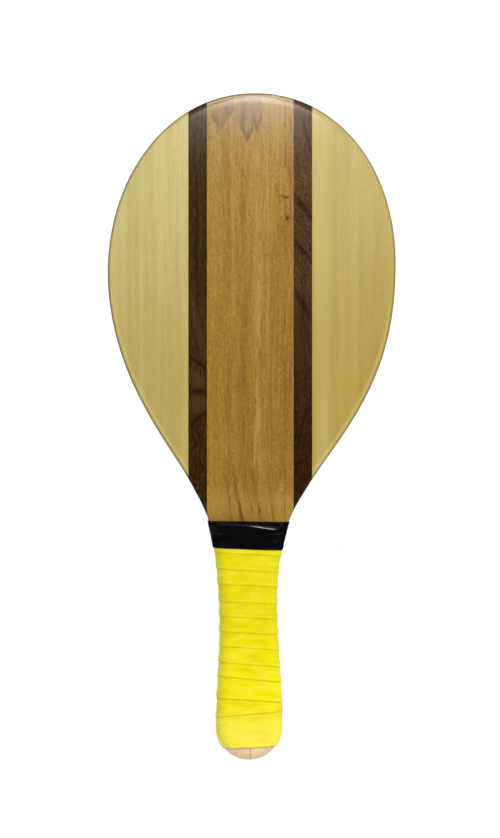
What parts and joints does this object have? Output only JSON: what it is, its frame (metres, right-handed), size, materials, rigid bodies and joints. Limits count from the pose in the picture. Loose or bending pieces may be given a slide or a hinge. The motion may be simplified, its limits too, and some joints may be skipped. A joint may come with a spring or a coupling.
{
  "type": "frescobol racket",
  "caption": "Wooden beach racket with an egg-shaped blade of glued planks, a thickened handle wound with soft tape and a dark collar of finishing tape at the neck.",
  "frame": {"origin": "the middle of the wound hand grip, on the racket's own centre line and halfway through its thickness", "axes": "+Z from the butt up to the crown, front face towards -Y, +X to the right as seen from the front"},
  "size_m": [0.203, 0.0292, 0.47],
  "materials": {
    "beech": "golden tan beech under a clear satin varnish, with short fine flecks along the grain",
    "walnut": "dark brown walnut under the same clear varnish",
    "poplar": "pale straw-yellow close-grained wood under the same clear varnish",
    "cheek_wood": "bare pale pinkish-tan wood, sanded smooth",
    "grip_tape": "bright yellow soft overgrip tape, matt with a faint sheen",
    "finishing_tape": "glossy black stretched vinyl tape with small wrinkles"
  },
  "bodies": {
    "root": {"centre_plank": "beech", "walnut_strip_left": "walnut", "walnut_strip_right": "walnut", "side_board_left": "poplar", "side_board_right": "poplar", "front_cheek_left": "cheek_wood", "front_cheek_right": "cheek_wood", "back_cheek_left": "cheek_wood", "back_cheek_right": "cheek_wood", "grip_tape": "grip_tape", "neck_collar": "finishing_tape"}
  },
  "joints": []
}
